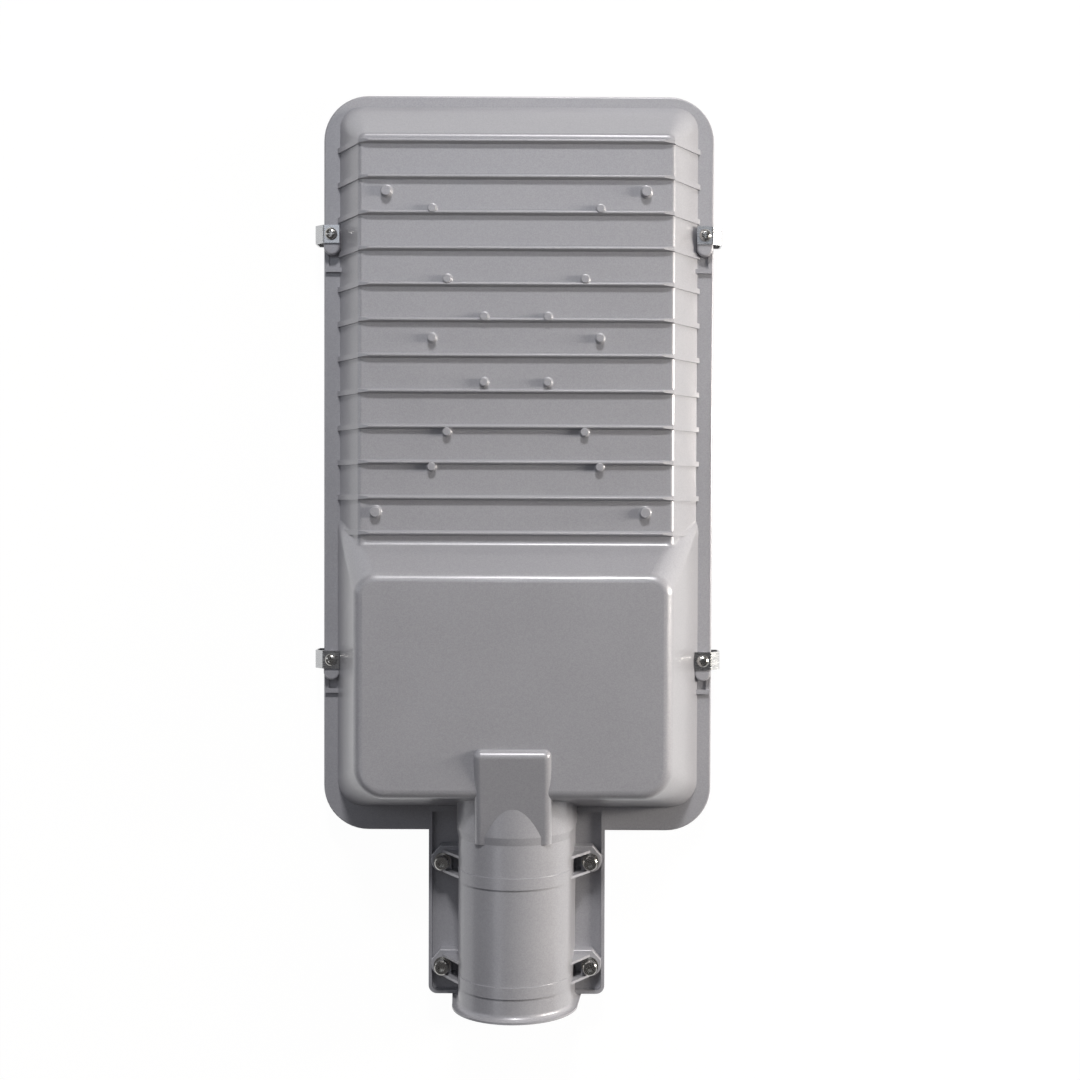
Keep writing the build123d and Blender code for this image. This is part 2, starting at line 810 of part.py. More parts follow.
flat_washer_top = ear_top + flat_washer_thickness
bolt_seat = flat_washer_top + spring_washer_thickness
clamp_top = skirt_bottom - clamp_gap
clamp_bottom = clamp_top - clamp_plate_thickness - clamp_boss_height
nut_top = clamp_bottom + nut_height + nut_pocket_clearance


def ring(x, y, z0, z1, outer_diameter, inner_diameter):
    return rod(x, y, z0, z1, outer_diameter) - rod(x, y, z0 - 1, z1 + 1, inner_diameter)


def hexagon(flats):
    return RegularPolygon(flats / 2, 6, major_radius=False)


def clamp_bolt(x, y):
    """M5 socket-head screw, chamfered head, hexagon socket."""
    head = Cylinder(bolt_head_diameter / 2, bolt_head_height)
    head = Pos(0, 0, bolt_head_height / 2) * head
    rim = head.faces().sort_by(Axis.Z)[-1].edges()
    head = chamfer(rim, bolt_head_chamfer)
    socket = extrude(Pos(0, 0, bolt_head_height - bolt_socket_depth) * hexagon(bolt_socket_flats),
                     bolt_socket_depth + 1)
    shank = Pos(0, 0, -bolt_length / 2) * Cylinder(bolt_diameter / 2, bolt_length)
    return Pos(x, y, bolt_seat) * (head + shank - socket)


def spring_washer(x, y):
    solid = ring(x, y, flat_washer_top, bolt_seat, spring_washer_diameter, bolt_hole)
    slit = Box(spring_washer_slit, spring_washer_diameter - bolt_hole + 2, 3 * spring_washer_thickness)
    slit = Rot(Y=spring_washer_slit_deg) * slit
    return solid - Pos(x, y - spring_washer_diameter / 2, (flat_washer_top + bolt_seat) / 2) * slit


def clamp_nut(x, y):
    solid = extrude(Pos(0, 0, nut_top - nut_height) * hexagon(nut_flats), nut_height)
    solid = Pos(x, y, 0) * solid
    return solid - rod(x, y, nut_top - nut_height - 1, nut_top + 1, bolt_diameter + 2 * screw_thread_gap)


def pole_clamp():
    """Lower half of the pole clamp: a plate with a half-round saddle and four nut bosses."""
    length = clamp_front - clamp_back
    middle = (clamp_front + clamp_back) / 2
    plate = extrude(
        Pos(0, middle, clamp_top - clamp_plate_thickness)
        * RectangleRounded(clamp_plate_width, length, clamp_corner_radius), clamp_plate_thickness)
    belly = round_hole_y(0, 0, clamp_back, clamp_front, 2 * (bore_radius + saddle_thickness))
    half = saddle_width / 2
    saddle_top = -math.sqrt(bore_radius ** 2 - (half - saddle_land) ** 2)
    belly &= block(-half, half, clamp_back, clamp_front, -2 * bore_radius, saddle_top)
    solid = plate + belly
    for x, y in clamp_places():
        solid += rod(x, y, clamp_bottom, clamp_top - 1, clamp_boss_diameter)
    solid -= round_hole_y(0, 0, clamp_back - 1, clamp_front + 1, 2 * bore_radius)
    for x, y in clamp_places():
        solid -= rod(x, y, clamp_bottom - 1, clamp_top + 1, bolt_hole)
        pocket = hexagon(nut_flats + 2 * nut_pocket_clearance)
        solid -= extrude(Pos(x, y, clamp_bottom - 1) * pocket, nut_top - clamp_bottom + 1)
    return solid


def frame_slab(edge_in, level):
    return slab_outline(
        flange_half - edge_in, flange_back + edge_in, tip - edge_in, flange_corner_radius - edge_in, level)


def glass_gasket():
    outer = extrude(frame_slab(gasket_edge_in, gasket_bottom), gasket_thickness)
    inner = extrude(frame_slab(gasket_edge_in + gasket_width, gasket_bottom - 1), gasket_thickness + 2)
    return outer - inner


def glass_pane():
    solid = extrude(frame_slab(glass_edge_in, glass_bottom), glass_thickness)
    rims = solid.faces().sort_by(Axis.Z)[-1].edges() + solid.faces().sort_by(Axis.Z)[0].edges()
    return chamfer(rims, glass_edge_chamfer)


def glass_clip(side, y):
    """Folded strip: tab on the flange's pad, sloping shoulder, wall outside the rim, hook under the glass."""
    outside = flange_half + clip_reach_out
    tab_top = flange_top + clip_boss_height + clip_sheet
    hook_bottom = glass_bottom - clip_sheet
    tab_end = clip_x - clip_boss_width / 2
    hook_end = outside - clip_hook_length
    inside = outside - clip_sheet
    mitre = clip_sheet * math.tan(math.radians(45 / 2))
    outer = [(outside - clip_shoulder, tab_top), (outside, tab_top - clip_shoulder), (outside, hook_bottom)]
    inner = [
        (inside, glass_bottom), (inside, tab_top - clip_shoulder - mitre),
        (outside - clip_shoulder - mitre, tab_top - clip_sheet)]
    outline = Polyline(
        (tab_end, tab_top), *outer, (hook_end, hook_bottom), (hook_end, glass_bottom), *inner,
        (tab_end, tab_top - clip_sheet), close=True)
    solid = along_y(make_face(outline), y - clip_width / 2, y + clip_width / 2)
    for places, radius in ((outer, clip_bend_radius), (inner, clip_bend_radius - clip_sheet)):
        bends = [
            edge for edge in solid.edges().filter_by(Axis.Y)
            if any(abs(edge.center().X - x) + abs(edge.center().Z - z) < clip_sheet / 10 for x, z in places)]
        solid = fillet(bends, radius)
    solid -= rod(clip_x, y, tab_top - 2, tab_top + 1, clip_screw_diameter + screw_hole_clearance)
    if side < 0:
        solid = mirror(solid, Plane.YZ)
    return solid


def led_places():
    places = []
    for column in range(led_columns):
        for row in range(led_rows):
            x = (column - (led_columns - 1) / 2) * led_pitch_x
            y = board_centre + (row - (led_rows - 1) / 2) * led_pitch_y
            places.append((x, y))
    return places


def led_board():
    half_width = board_width / 2
    half_length = board_length / 2
    solid = block(
        -half_width, half_width, board_centre - half_length, board_centre + half_length,
        board_bottom, ceiling)
    for x, y in board_screw_places():
        solid -= rod(x, y, board_bottom - 1, ceiling + 1, small_clear_hole)
    return solid


def led_package(x, y):
    half = led_size / 2
    return block(x - half, x + half, y - half, y + half, board_bottom - led_height, board_bottom)


def lens_plate():
    """Clear moulded plate with one lens under each LED and a pocket over it."""
    half_width = board_width / 2 - lens_plate_edge_in
    half_length = board_length / 2 - lens_plate_edge_in
    solid = block(
        -half_width, half_width, board_centre - half_length, board_centre + half_length,
        lens_bottom, board_bottom)
    notch_half = connector_width / 2 + connector_clearance
    notch_end = connector_back + connector_length + connector_clearance
    solid -= block(
        lead_pass_x - notch_half, lead_pass_x + notch_half, board_centre - half_length - 1, notch_end,
        lens_bottom - 1, board_bottom + 1)
    ball_radius = (lens_radius ** 2 + lens_height ** 2) / (2 * lens_height)
    cap = Pos(0, 0, ball_radius - lens_height) * Sphere(ball_radius)
    cap &= block(-2 * lens_radius, 2 * lens_radius, -2 * lens_radius, 2 * lens_radius, -lens_height, 0.5)
    cap = Pos(0, 0, lens_bottom) * cap
    pocket_half = led_size / 2 + lens_pocket_clearance
    for x, y in led_places():
        solid += Pos(x, y, 0) * cap
        solid -= block(
            x - pocket_half, x + pocket_half, y - pocket_half, y + pocket_half,
            board_bottom - led_height - lens_pocket_clearance, board_bottom + 1)
    for x, y in board_screw_places():
        solid -= rod(x, y, lens_bottom - 1, board_bottom + 1, small_clear_hole)
    return solid


def board_connector():
    """Two-pole connector on the board, at the edge that faces the driver."""
    back = connector_back
    solid = block(
        lead_pass_x - connector_width / 2, lead_pass_x + connector_width / 2,
        back, back + connector_length, board_bottom - connector_height, board_bottom)
    solid = chamfer(solid.faces().sort_by(Axis.Z)[0].edges(), connector_chamfer)
    for side in (-1, 1):
        x = lead_pass_x + side * lead_spacing
        middle = board_bottom - connector_height / 2
        solid -= round_hole_y(x, middle, back - 1, back + connector_length / 2, lead_hole)
    return solid


def reflector_liner():
    """White pan under the chamber roof, with a window for the lens plate."""
    rim_level = flange_top + liner_rim_above_flange
    gap = liner_side_gap
    inner = gap + liner_sheet
    outside = loft([chamber_slab(rim_level, gap), chamber_slab(ceiling, gap)], ruled=True)
    hollow = loft([chamber_slab(rim_level, inner), chamber_slab(ceiling - liner_sheet, inner)], ruled=True)
    below = Pos(0, 0, -1) * chamber_slab(rim_level, inner)
    solid = outside - hollow - extrude(below, 1)
    half_width = board_width / 2 + liner_window_margin
    half_length = board_length / 2 + liner_window_margin
    solid -= block(
        -half_width, half_width, board_centre - half_length, board_centre + half_length,
        ceiling - 2 * liner_sheet, ceiling + 1)
    solid -= round_hole_y(
        lead_pass_x, lead_pass_level, partition_front, partition_front + liner_notch_depth,
        liner_notch_diameter)
    for x, y in liner_screw_places:
        solid -= rod(x, y, ceiling - 2 * liner_sheet, ceiling + 1, medium_clear_hole)
    return solid


def led_driver():
    """Sealed driver in an aluminium case, with a fixing tab and a lead gland at each end."""
    half_length = driver_length / 2
    half_width = driver_width / 2
    case = block(
        -half_length, half_length, driver_centre - half_width, driver_centre + half_width,
        driver_bottom, driver_seat)
    case = fillet(case.edges().filter_by(Axis.X), driver_edge_radius)
    reach = half_length + driver_tab_length
    half_tab = driver_tab_width / 2
    tabs = block(
        -reach, reach, driver_centre - half_tab, driver_centre + half_tab,
        driver_seat - driver_tab_thickness, driver_seat)
    tabs = fillet(tabs.edges().filter_by(Axis.Z), driver_edge_radius)
    solid = case + tabs
    for side in (-1, 1):
        gland = Cylinder(driver_gland_diameter / 2, driver_gland_length, rotation=(0, 90, 0))
        middle = side * (half_length + driver_gland_length / 2)
        solid += Pos(middle, driver_centre, driver_middle) * gland
    for x, y in driver_screw_places:
        solid -= rod(x, y, driver_seat - driver_tab_thickness - 1, driver_seat + 1, medium_clear_hole)
    return solid


def terminal_poles_x():
    first = terminal_x - (terminal_poles - 1) / 2 * terminal_pitch
    return [first + index * terminal_pitch for index in range(terminal_poles)]


def terminal_block():
    """Three-pole block for the supply, with a fixing foot at each end."""
    half_width = terminal_width / 2
    half_length = terminal_length / 2
    core = half_length - terminal_foot
    solid = block(
        terminal_x - core, terminal_x + core, small_row - half_width, small_row + half_width,
        terminal_bottom, driver_seat)
    solid += block(
        terminal_x - half_length, terminal_x + half_length, small_row - half_width / 2,
        small_row + half_width / 2, driver_seat - terminal_foot_height, driver_seat)
    for index, x in enumerate(terminal_poles_x()):
        solid -= rod(x, small_row, terminal_bottom - 1, terminal_bottom + terminal_slot_depth,
                     terminal_screw_diameter + screw_hole_clearance)
        level = driver_middle + (index - (terminal_poles - 1) / 2) * lead_spacing
        for side in (-1, 1):
            y0 = small_row + min(side * half_width / 3, side * (half_width + 1))
            y1 = small_row + max(side * half_width / 3, side * (half_width + 1))
            solid -= round_hole_y(x, level, y0, y1, lead_hole)
    for x, y in terminal_screw_places:
        solid -= rod(x, y, driver_seat - terminal_foot_height - 1, driver_seat + 1, small_clear_hole)
    return solid


def terminal_screws():
    """Headless clamping screws of the three poles."""
    screws = []
    for x in terminal_poles_x():
        z0 = terminal_bottom + terminal_screw_in
        z1 = terminal_bottom + terminal_slot_depth
        screw = rod(x, small_row, z0, z1, terminal_screw_diameter)
        half = terminal_screw_slot_width / 2
        slot = block(
            x - terminal_screw_diameter, x + terminal_screw_diameter, small_row - half, small_row + half,
            z0 - 1, z0 + terminal_screw_slot_depth)
        screws.append(screw - slot)
    return screws


def driver_cover():
    """Sheet that closes the driver compartment above the glass."""
    outline = slab_outline(
        cover_half, cover_back, cover_front, box_inner_foot_corner - cover_side_gap, cover_bottom)
    solid = extrude(outline, cover_sheet)
    for x, y in cover_screw_places:
        solid -= rod(x, y, cover_bottom - 1, cover_top + 1, medium_clear_hole)
    return solid


def grommet(x, z, y0, wall_thickness, hole_diameter):
    """Rubber grommet in a wall: a waist in the hole, a lip on each face, a thin membrane."""
    waist = hole_diameter / 2
    lip = waist + grommet_lip
    end = wall_thickness + grommet_lip_thickness
    bore = waist - grommet_lip
    outline = Polyline(
        (bore, -grommet_lip_thickness), (lip - grommet_edge, -grommet_lip_thickness), (lip, 0), (waist, 0),
        (waist, wall_thickness), (lip, wall_thickness), (lip - grommet_edge, end), (bore, end), close=True)
    solid = revolve(Plane.XY * make_face(outline), Axis.Y)
    membrane = Cylinder(bore + grommet_edge, grommet_membrane, rotation=(90, 0, 0))
    solid += Pos(0, wall_thickness / 2, 0) * membrane
    return Pos(x, y0, z) * solid


def inlet_grommet():
    return grommet(0, 0, stop_face, stop_wall, inlet_hole_diameter)


def lead_route(points):
    """Centre line of a lead: straight runs joined by arcs as large as the runs allow."""
    radii = []
    for before, corner, after in zip(points, points[1:], points[2:]):
        run_in = Vector(*corner) - Vector(*before)
        run_out = Vector(*after) - Vector(*corner)
        turn = math.radians(run_in.get_angle(run_out))
        radii.append(lead_bend_share * min(run_in.length, run_out.length) / math.tan(turn / 2))
    return FilletPolyline(*points, radius=radii)


def lead(points):
    route = lead_route(points)
    start = Plane(origin=route @ 0, z_dir=route % 0)
    return sweep(start * Circle(lead_diameter / 2), path=route)


def output_lead_points(side):
    """Route of one output lead, from the driver's left gland to the LED board."""
    gland_end = -driver_length / 2 - driver_gland_length
    offset = side * lead_spacing / 2
    pole_x = lead_pass_x + side * lead_spacing
    before_pass, after_pass, before_connector = output_lead_pass
    turn_x, turn_y, turn_z = output_lead_turn
    connector_level = board_bottom - connector_height / 2
    connector_end = connector_back + connector_length / 2
    points = [
        (gland_end, driver_centre, driver_middle + offset),
        (gland_end - lead_straight_end, driver_centre, driver_middle + offset)]
    for bend_x, bend_y, bend_z in output_lead_bends:
        points.append((gland_end + bend_x, driver_centre + bend_y, driver_middle + bend_z + offset))
    points += [
        (gland_end + turn_x, driver_centre + turn_y, lead_pass_level + turn_z + offset),
        (lead_pass_x, driver_centre + before_pass, lead_pass_level + offset),
        (lead_pass_x, partition_front + after_pass, lead_pass_level + offset),
        (pole_x, connector_back + before_connector, connector_level),
        (pole_x, connector_end, connector_level)]
    return points


def input_lead_points(index):
    """Route of one input lead, from the driver's right gland to the terminal block."""
    level = driver_middle + (index - (terminal_poles - 1) / 2) * lead_spacing
    gland_end = driver_length / 2 + driver_gland_length
    out = gland_end + lead_side_room
    pole_x = terminal_poles_x()[index]
    lane = driver_centre - driver_width / 2 - input_lane_from_driver
    first_bend, second_bend = input_lead_bends
    return [
        (gland_end, driver_centre, level),
        (gland_end + lead_straight_end, driver_centre, level),
        (out, driver_centre + first_bend, level),
        (out, driver_centre + second_bend, level),
        (pole_x, lane, level),
        (pole_x, small_row + terminal_width / 6, level),
    ]


def pass_grommet():
    """Grommet in the partition, with a hole for each output lead."""
    solid = grommet(lead_pass_x, lead_pass_level, partition_back, partition_thickness, pass_hole_diameter)
    for side in (-1, 1):
        solid -= lead(output_lead_points(side))
    return solid


def earth_washer():
    z1 = driver_seat
    return ring(
        earth_x, small_row, z1 - earth_washer_thickness, z1, earth_washer_diameter,
        medium_clear_hole)


clip_places = corner_places(clip_x, clip_ys[0], clip_ys[1])
clip_tab_top = flange_top + clip_boss_height + clip_sheet
tab_bottom = driver_seat - driver_tab_thickness
foot_bottom = driver_seat - terminal_foot_height
earth_seat = driver_seat - earth_washer_thickness
liner_bottom = ceiling - liner_sheet

nodes = {
    "housing": [housing()],
    "pole_clamp": [pole_clamp()],
    "clamp_bolts": [clamp_bolt(x, y) for x, y in clamp_places()],
    "clamp_spring_washers": [spring_washer(x, y) for x, y in clamp_places()],
    "clamp_flat_washers": [
        ring(x, y, ear_top, flat_washer_top, flat_washer_diameter, bolt_hole)
        for x, y in clamp_places()],
    "clamp_nuts": [clamp_nut(x, y) for x, y in clamp_places()],
    "glass_gasket": [glass_gasket()],
    "glass_pane": [glass_pane()],
    "glass_clips": [glass_clip(side, y) for side in (-1, 1) for y in clip_ys],
    "clip_screws": pan_screws(clip_places, clip_tab_top, clip_screw_diameter, clip_screw_length, True),
    "led_board": [led_board()],
    "led_packages": [led_package(x, y) for x, y in led_places()],
    "lens_plate": [lens_plate()],
    "board_screws": pan_screws(
        board_screw_places(), lens_bottom, small_screw_diameter, board_screw_length, False),
    "board_connector": [board_connector()],
    "reflector_liner": [reflector_liner()],
    "liner_screws": pan_screws(
        liner_screw_places, liner_bottom, medium_screw_diameter, liner_screw_length, False),
    "led_driver": [led_driver()],
    "driver_screws": pan_screws(
        driver_screw_places, tab_bottom, medium_screw_diameter, box_screw_length, False),
    "terminal_block": [terminal_block()],
    "terminal_screws": terminal_screws(),
    "terminal_fixing_screws": pan_screws(
        terminal_screw_places, foot_bottom, small_screw_diameter, box_screw_length, False),
    "earth_washer": [earth_washer()],
    "earth_screw": pan_screws(
        [(earth_x, small_row)], earth_seat, medium_screw_diameter, liner_screw_length, False),
    "driver_cover": [driver_cover()],
    "cover_screws": pan_screws(
        cover_screw_places, cover_bottom, medium_screw_diameter, cover_screw_length, False),
    "inlet_grommet": [inlet_grommet()],
    "lead_grommet": [pass_grommet()],
    "output_leads": [lead(output_lead_points(side)) for side in (-1, 1)],
    "input_leads": [lead(input_lead_points(index)) for index in range(terminal_poles)],
}

for name, solids in nodes.items():
    shape = solids[0] if len(solids) == 1 else Compound(children=solids)
    export_step(shape, f"parts/{name}.step")
    print(name, len(solids), round(sum(solid.volume for solid in solids)))
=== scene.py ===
import math

import bpy
import numpy as np
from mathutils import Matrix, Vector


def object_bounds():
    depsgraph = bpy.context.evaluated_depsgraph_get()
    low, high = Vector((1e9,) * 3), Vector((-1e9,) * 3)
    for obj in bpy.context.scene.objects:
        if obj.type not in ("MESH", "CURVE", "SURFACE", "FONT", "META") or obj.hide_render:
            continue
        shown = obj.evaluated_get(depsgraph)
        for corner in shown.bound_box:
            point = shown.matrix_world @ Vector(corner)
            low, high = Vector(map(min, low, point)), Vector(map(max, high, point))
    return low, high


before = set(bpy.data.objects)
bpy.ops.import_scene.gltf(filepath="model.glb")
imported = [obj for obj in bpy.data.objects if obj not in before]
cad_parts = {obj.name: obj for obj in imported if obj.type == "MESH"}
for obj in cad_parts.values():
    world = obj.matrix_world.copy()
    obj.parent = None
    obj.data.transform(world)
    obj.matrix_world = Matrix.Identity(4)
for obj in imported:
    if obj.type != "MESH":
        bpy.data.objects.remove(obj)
cad_low, cad_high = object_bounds()


# Camera. The head is seen from almost straight above, from about 0.95 m over its flange,
# with the tip at the top of the picture. The small shift stands for the picture's crop.
camera_place = (0.0456, 0.2954, 0.9365)
camera_tilt_deg = -1.388
camera_roll_deg = 0.24

camera_data = bpy.data.cameras.new("camera")
camera_data.sensor_width = 36.0
camera_data.lens = 53.67
camera_data.shift_x = -0.0509
camera_data.clip_start = 0.01
camera_data.clip_end = 50.0
camera = bpy.data.objects.new("camera", camera_data)
camera.location = camera_place
camera.rotation_euler = (math.radians(camera_tilt_deg), 0.0, math.radians(camera_roll_deg))
bpy.context.collection.objects.link(camera)
bpy.context.scene.camera = camera
bpy.context.scene.view_settings.view_transform = "Standard"


# Housing and clamp plate. Both are aluminium die castings with a silver-grey polyester powder
# coat: satin, with metal flakes, a faint orange peel, and the casting's slow waves under it. The
# real flakes are under 0.1 mm, and are drawn coarser here so that their sparkle shows.
def linear(hex_colour):
    """sRGB hex to linear: the standard sRGB curve on each channel."""
    channels = np.array([int(hex_colour[i:i + 2], 16) / 255 for i in (1, 3, 5)])
    low = channels / 12.92
    high = ((channels + 0.055) / 1.055) ** 2.4
    return tuple(np.where(channels <= 0.04045, low, high)) + (1.0,)


def fill(tree, node, inputs):
    """Fills a node's sockets: links the values that are sockets, and sets the others."""
    for key, value in inputs.items():
        if isinstance(value, bpy.types.NodeSocket):
            tree.links.new(value, node.inputs[key])
        else:
            node.inputs[key].default_value = value


def add(tree, kind, inputs=None, **settings):
    """Adds one node with its settings, and fills its sockets."""
    made = tree.nodes.new(kind)
    for name, value in settings.items():
        setattr(made, name, value)
    fill(tree, made, inputs or {})
    return made


def new_material(name):
    """Plain node material. Returns the material, its node tree and its shader."""
    material = bpy.data.materials.new(name)
    material.use_nodes = True
    tree = material.node_tree
    return material, tree, tree.nodes["Principled BSDF"]


def dress(material, *node_names):
    """Puts one material on one or more CAD nodes."""
    for name in node_names:
        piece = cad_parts[name]
        piece.data.materials.clear()
        piece.data.materials.append(material)


flake_size = 0.0005
flake_depth = 0.000015
flake_strength = 0.22
peel_size = 0.0022
peel_depth = 0.00003
casting_wave_size = 0.03
casting_wave_depth = 0.0003
noise_low = 0.3
noise_high = 0.7
coat, tree, shader = new_material("silver_powder_coat")
place = add(tree, "ShaderNodeTexCoord").outputs["Object"]
flakes = add(tree, "ShaderNodeTexVoronoi", {"Vector": place, "Scale": 1 / flake_size})
flake_value = add(tree, "ShaderNodeSeparateColor", {"Color": flakes.outputs["Color"]})
peel = add(tree, "ShaderNodeTexNoise", {"Vector": place, "Scale": 1 / peel_size, "Detail": 2.0})
wave = add(tree, "ShaderNodeTexNoise", {
    "Vector": place, "Scale": 1 / casting_wave_size, "Detail": 3.0})
flake_share = add(tree, "ShaderNodeMapRange", {
    "Value": flake_value.outputs["Red"],
    "From Min": 0.0, "From Max": 1.0, "To Min": 0.0, "To Max": flake_strength})
wave_share = add(tree, "ShaderNodeMapRange", {
    "Value": wave.outputs["Fac"],
    "From Min": noise_low, "From Max": noise_high, "To Min": 0.0, "To Max": 0.5})
tone = add(tree, "ShaderNodeMix", {
    "Factor": wave_share.outputs["Result"],
    "A": linear("#97979D"), "B": linear("#9B9BA1")}, data_type="RGBA")
sparkle = add(tree, "ShaderNodeMix", {
    "Factor": flake_share.outputs["Result"],
    "A": tone.outputs["Result"], "B": linear("#C4C4C6")}, data_type="RGBA")
gloss = add(tree, "ShaderNodeMapRange", {
    "Value": wave.outputs["Fac"],
    "From Min": noise_low, "From Max": noise_high, "To Min": 0.30, "To Max": 0.38})
wave_bump = add(tree, "ShaderNodeBump", {
    "Height": wave.outputs["Fac"], "Distance": casting_wave_depth, "Strength": 0.5})
peel_bump = add(tree, "ShaderNodeBump", {
    "Height": peel.outputs["Fac"], "Distance": peel_depth, "Strength": 0.6,
    "Normal": wave_bump.outputs["Normal"]})
flake_bump = add(tree, "ShaderNodeBump", {
    "Height": flake_value.outputs["Green"], "Distance": flake_depth, "Strength": 0.5,
    "Normal": peel_bump.outputs["Normal"]})
fill(tree, shader, {
    "Base Color": sparkle.outputs["Result"], "Metallic": 0.15, "Roughness": gloss.outputs["Result"],
    "Coat Weight": 0.2, "Coat Roughness": 0.12, "Normal": flake_bump.outputs["Normal"]})
dress(coat, "housing", "pole_clamp")


# Bolts, screws, washers and nuts. Steel, M3 to M5, turned and cold headed, with a bright zinc
# plating, so their faces are smooth and their edges catch the light. The turning marks are
# finer than a pixel on the real ones, and are drawn coarser here.
mark_size = 0.0006
mark_depth = 0.00001
blotch_size = 0.004
plating, tree, shader = new_material("zinc_plated_steel")
place = add(tree, "ShaderNodeTexCoord").outputs["Object"]
marks = add(tree, "ShaderNodeTexNoise", {"Vector": place, "Scale": 1 / mark_size, "Detail": 3.0})
blotch = add(tree, "ShaderNodeTexNoise", {"Vector": place, "Scale": 1 / blotch_size, "Detail": 2.0})
tone = add(tree, "ShaderNodeMix", {
    "Factor": blotch.outputs["Fac"], "A": linear("#A9A7A3"), "B": linear("#C9C8C5")}, data_type="RGBA")
gloss = add(tree, "ShaderNodeMapRange", {
    "Value": marks.outputs["Fac"],
    "From Min": noise_low, "From Max": noise_high, "To Min": 0.16, "To Max": 0.3})
bump = add(tree, "ShaderNodeBump", {
    "Height": marks.outputs["Fac"], "Distance": mark_depth, "Strength": 0.6})
fill(tree, shader, {
    "Base Color": tone.outputs["Result"], "Metallic": 1.0, "Roughness": gloss.outputs["Result"],
    "Normal": bump.outputs["Normal"]})
dress(
    plating, "clamp_bolts", "clamp_spring_washers", "clamp_flat_washers", "clamp_nuts", "clip_screws",
    "board_screws", "liner_screws", "driver_screws", "terminal_screws", "terminal_fixing_screws",
    "earth_washer", "earth_screw", "cover_screws")


# Glass clips. Folded stainless strip, 1 mm thick, with the grain that rolling leaves along it.
# The real grain is finer than a pixel, and is drawn coarser here.
grain_width = 0.0003
grain_depth = 0.00001
grain_stretch = 0.08
strip, tree, shader = new_material("rolled_stainless_strip")
place = add(tree, "ShaderNodeTexCoord").outputs["Object"]
stretched = add(tree, "ShaderNodeMapping", {
    "Vector": place, "Scale": (grain_stretch, 1.0, grain_stretch)})
grain = add(tree, "ShaderNodeTexNoise", {
    "Vector": stretched.outputs["Vector"], "Scale": 1 / grain_width, "Detail": 3.0})
tone = add(tree, "ShaderNodeMix", {
    "Factor": grain.outputs["Fac"], "A": linear("#B9BABC"), "B": linear("#CCCDCE")}, data_type="RGBA")
gloss = add(tree, "ShaderNodeMapRange", {
    "Value": grain.outputs["Fac"],
    "From Min": noise_low, "From Max": noise_high, "To Min": 0.2, "To Max": 0.34})
bump = add(tree, "ShaderNodeBump", {
    "Height": grain.outputs["Fac"], "Distance": grain_depth, "Strength": 0.7})
fill(tree, shader, {
    "Base Color": tone.outputs["Result"], "Metallic": 1.0, "Roughness": gloss.outputs["Result"],
    "Normal": bump.outputs["Normal"]})
dress(strip, "glass_clips")


# Gasket and grommets. Black silicone rubber, moulded, with the dull skin of the mould. The gasket
# lies between the pane and the flange, and the grommets line the two holes that leads pass.
rubber_skin_size = 0.0008
rubber_skin_depth = 0.00003
rubber, tree, shader = new_material("black_silicone_rubber")
place = add(tree, "ShaderNodeTexCoord").outputs["Object"]
skin = add(tree, "ShaderNodeTexNoise", {"Vector": place, "Scale": 1 / rubber_skin_size, "Detail": 2.0})
tone = add(tree, "ShaderNodeMix", {
    "Factor": skin.outputs["Fac"], "A": linear("#1C1C1D"), "B": linear("#2B2B2C")}, data_type="RGBA")
bump = add(tree, "ShaderNodeBump", {
    "Height": skin.outputs["Fac"], "Distance": rubber_skin_depth, "Strength": 0.4})
fill(tree, shader, {
    "Base Color": tone.outputs["Result"], "Roughness": 0.62, "Normal": bump.outputs["Normal"]})
dress(rubber, "glass_gasket", "inlet_grommet", "lead_grommet")


# Glass pane. 4 mm clear tempered glass with ground edges, which the clips press up against the
# gasket. Light on its way to the board behind it is let straight through.
def show_instead(tree, shader, share, other):
    """Shows another shader in place of the material's own, by a share from 0 to 1."""
    mixed = add(tree, "ShaderNodeMixShader", {0: share, 1: shader.outputs["BSDF"], 2: other})
    tree.links.new(mixed.outputs["Shader"], tree.nodes["Material Output"].inputs["Surface"])


def let_light_through(tree, shader, clear_share):
    """Lets a share of the light pass straight through on its way to what lies behind."""
    rays = add(tree, "ShaderNodeLightPath")
    clear = add(tree, "ShaderNodeBsdfTransparent")
    share = add(tree, "ShaderNodeMath", {
        0: rays.outputs["Is Shadow Ray"], 1: clear_share}, operation="MULTIPLY")
    show_instead(tree, shader, share.outputs["Value"], clear.outputs["BSDF"])


glass, tree, shader = new_material("clear_tempered_glass")
fill(tree, shader, {
    "Base Color": linear("#F4FAF8"), "Roughness": 0.01, "IOR": 1.52, "Transmission Weight": 1.0})
let_light_through(tree, shader, clear_share=0.9)
dress(glass, "glass_pane")


# LED board. Aluminium core under a white solder mask, with the copper tracks showing faintly
# through it as strips that join the LEDs along each column.
column_pitch = 0.015
track_gap_half = 0.0050
track_edge = 0.0003
board, tree, shader = new_material("white_solder_mask")
place = add(tree, "ShaderNodeTexCoord").outputs["Object"]
parts_of = add(tree, "ShaderNodeSeparateXYZ", {"Vector": place})
column = add(tree, "ShaderNodeMath", {
    0: parts_of.outputs["X"], 1: column_pitch / 2}, operation="PINGPONG")
track = add(tree, "ShaderNodeMapRange", {
    "Value": column.outputs["Value"],
    "From Min": track_gap_half, "From Max": track_gap_half + track_edge, "To Min": 0.0, "To Max": 1.0})
tone = add(tree, "ShaderNodeMix", {
    "Factor": track.outputs["Result"], "A": linear("#E6E5E0"), "B": linear("#D9D6CC")}, data_type="RGBA")
fill(tree, shader, {"Base Color": tone.outputs["Result"], "Roughness": 0.38})
dress(board, "led_board")


